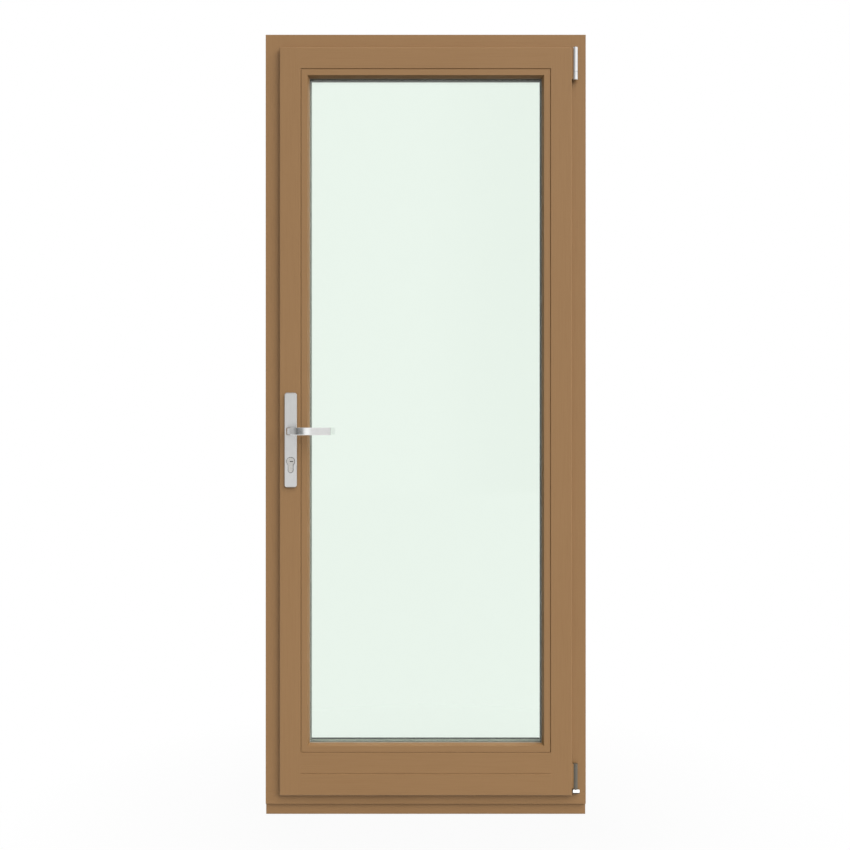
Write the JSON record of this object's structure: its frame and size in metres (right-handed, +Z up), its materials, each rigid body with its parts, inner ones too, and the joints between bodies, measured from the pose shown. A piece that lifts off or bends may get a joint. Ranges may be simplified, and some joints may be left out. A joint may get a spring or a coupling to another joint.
{
  "type": "glazed timber door with frame",
  "caption": "Inward opening timber door leaf with one tall double glazed pane, hung in its frame, with lever handle, profile cylinder and edge locking gear.",
  "frame": {"origin": "middle of the underside of the base profile, which stands on the floor of the wall opening", "axes": "+Z up, +X towards the hinge side as seen from the room, +Y from the room to the outside"},
  "size_m": [0.9, 0.1551, 2.195],
  "materials": {
    "painted_timber": "satin opaque brown stain",
    "clear_glass": "polished float glass",
    "spacer_composite": "matt grey extruded",
    "black_rubber": "matt extruded",
    "grey_rubber": "matt extruded",
    "block_plastic": "matt moulded",
    "anodised_aluminium": "satin anodised",
    "zinc_plated_steel": "zinc plated",
    "satin_steel": "satin ground",
    "nickel_cylinder": "matt nickel plated",
    "hinge_chrome": "bright chrome plated",
    "lacquered_sleeve": "grey brown lacquer"
  },
  "bodies": {
    "frame": {"frame_head": "painted_timber", "frame_lock_jamb": "painted_timber", "frame_hinge_jamb": "painted_timber", "frame_head_stop": "painted_timber", "frame_lock_stop": "painted_timber", "frame_hinge_stop": "painted_timber", "frame_sill": "painted_timber", "sill_base": "painted_timber", "rain_rail": "anodised_aluminium", "rain_rail_caps": "block_plastic", "lock_keepers": "zinc_plated_steel", "top_hinge_bearing": "hinge_chrome", "top_hinge_pin": "hinge_chrome", "bottom_hinge_bearing": "hinge_chrome", "bottom_hinge_pin": "hinge_chrome"},
    "leaf": {"leaf_lock_stile": "painted_timber", "leaf_hinge_stile": "painted_timber", "leaf_top_rail": "painted_timber", "leaf_upper_board": "painted_timber", "leaf_lower_board": "painted_timber", "bead_top": "painted_timber", "bead_bottom": "painted_timber", "bead_lock": "painted_timber", "bead_hinge": "painted_timber", "inner_pane": "clear_glass", "outer_pane": "clear_glass", "spacer_bar": "spacer_composite", "leaf_gasket": "black_rubber", "edge_sealant": "black_rubber", "outer_glazing_seal": "black_rubber", "inner_glazing_seal": "grey_rubber", "setting_blocks": "block_plastic", "drip_bar": "anodised_aluminium", "gear_faceplate": "zinc_plated_steel", "gear_case": "zinc_plated_steel", "gear_cover": "zinc_plated_steel", "handle_base": "zinc_plated_steel", "handle_plate": "satin_steel", "cylinder_body": "nickel_cylinder", "top_hinge_strap": "hinge_chrome", "bottom_hinge_strap": "lacquered_sleeve"},
    "handle": {"lever": "satin_steel", "spindle": "zinc_plated_steel", "follower_pinion": "zinc_plated_steel", "lever_screw": "zinc_plated_steel"},
    "drive": {"drive_bar": "zinc_plated_steel", "locking_cams": "zinc_plated_steel"},
    "plug": {"cylinder_plug": "nickel_cylinder", "cylinder_cam": "zinc_plated_steel"}
  },
  "joints": [
    {"name": "leaf_swing", "type": "hinge", "parent": "frame", "child": "leaf", "pos_m": [0.4193, -0.0442, 1.08], "axis": [0, 0, 1], "range_deg": [0, 110]},
    {"name": "handle_turn", "type": "hinge", "parent": "leaf", "child": "handle", "pos_m": [-0.3765, -0.064, 1.08], "axis": [0, 1, 0], "range_deg": [0, 90]},
    {"name": "bar_slide", "type": "slide", "parent": "leaf", "child": "drive", "axis": [0, 0, 1], "range_m": [0, 0.014]},
    {"name": "key_turn", "type": "hinge", "parent": "leaf", "child": "plug", "pos_m": [-0.3765, -0.044, 0.996], "axis": [0, 1, 0], "range_deg": [0, 360]}
  ],
  "couplings": [
    {"joint": "bar_slide", "follows": "handle_turn", "m_per_rad": 0.0089127}
  ]
}
